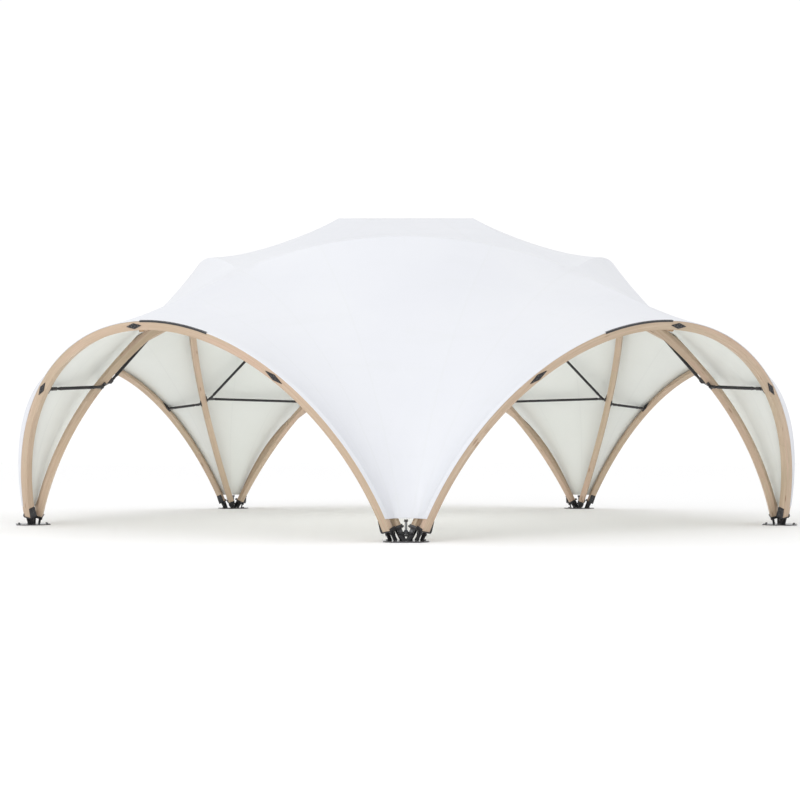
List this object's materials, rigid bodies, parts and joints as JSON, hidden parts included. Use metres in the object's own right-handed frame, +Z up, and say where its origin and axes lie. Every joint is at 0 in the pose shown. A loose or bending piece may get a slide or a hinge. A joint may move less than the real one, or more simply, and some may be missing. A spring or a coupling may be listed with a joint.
{
  "type": "canopy tent",
  "caption": "Open-sided event canopy tent: arched laminated timber ribs on pinned steel feet under a taut white membrane roof.",
  "frame": {"origin": "centre of the bounding box on the ground, within a few centimetres of the middle of the five feet", "axes": "+Z up; -Y towards the front foot; +X to the right as seen from the front"},
  "size_m": [10.3332, 10.2697, 4.056],
  "materials": {
    "timber": "satin",
    "membrane": "satin",
    "blackened_steel": "satin"
  },
  "bodies": {
    "root": {"cross_arch_back_left": "timber", "cross_arch_back_right": "timber", "cross_arch_front": "timber", "cross_arch_left": "timber", "cross_arch_right": "timber", "crown_beam_back": "timber", "crown_beam_front_left": "timber", "crown_beam_front_right": "timber", "crown_beam_left": "timber", "crown_beam_right": "timber", "crown_panel": "membrane", "crown_ring": "timber", "foot_back_left": "blackened_steel", "foot_back_right": "blackened_steel", "foot_front": "blackened_steel", "foot_left": "blackened_steel", "foot_right": "blackened_steel", "leg_frame_back_left": "blackened_steel", "leg_frame_back_right": "blackened_steel", "leg_frame_front": "blackened_steel", "leg_frame_left": "blackened_steel", "leg_frame_right": "blackened_steel", "opening_arch_back": "timber", "opening_arch_front_left": "timber", "opening_arch_front_right": "timber", "opening_arch_left": "timber", "opening_arch_right": "timber", "ridge_beam_back": "timber", "ridge_beam_front_left": "timber", "ridge_beam_front_right": "timber", "ridge_beam_left": "timber", "ridge_beam_right": "timber", "sail_back_left": "membrane", "sail_back_right": "membrane", "sail_front": "membrane", "sail_left": "membrane", "sail_right": "membrane", "side_tie_a_back_left": "blackened_steel", "side_tie_a_back_right": "blackened_steel", "side_tie_a_front": "blackened_steel", "side_tie_a_left": "blackened_steel", "side_tie_a_right": "blackened_steel", "side_tie_b_back_left": "blackened_steel", "side_tie_b_back_right": "blackened_steel", "side_tie_b_front": "blackened_steel", "side_tie_b_left": "blackened_steel", "side_tie_b_right": "blackened_steel"}
  },
  "joints": []
}
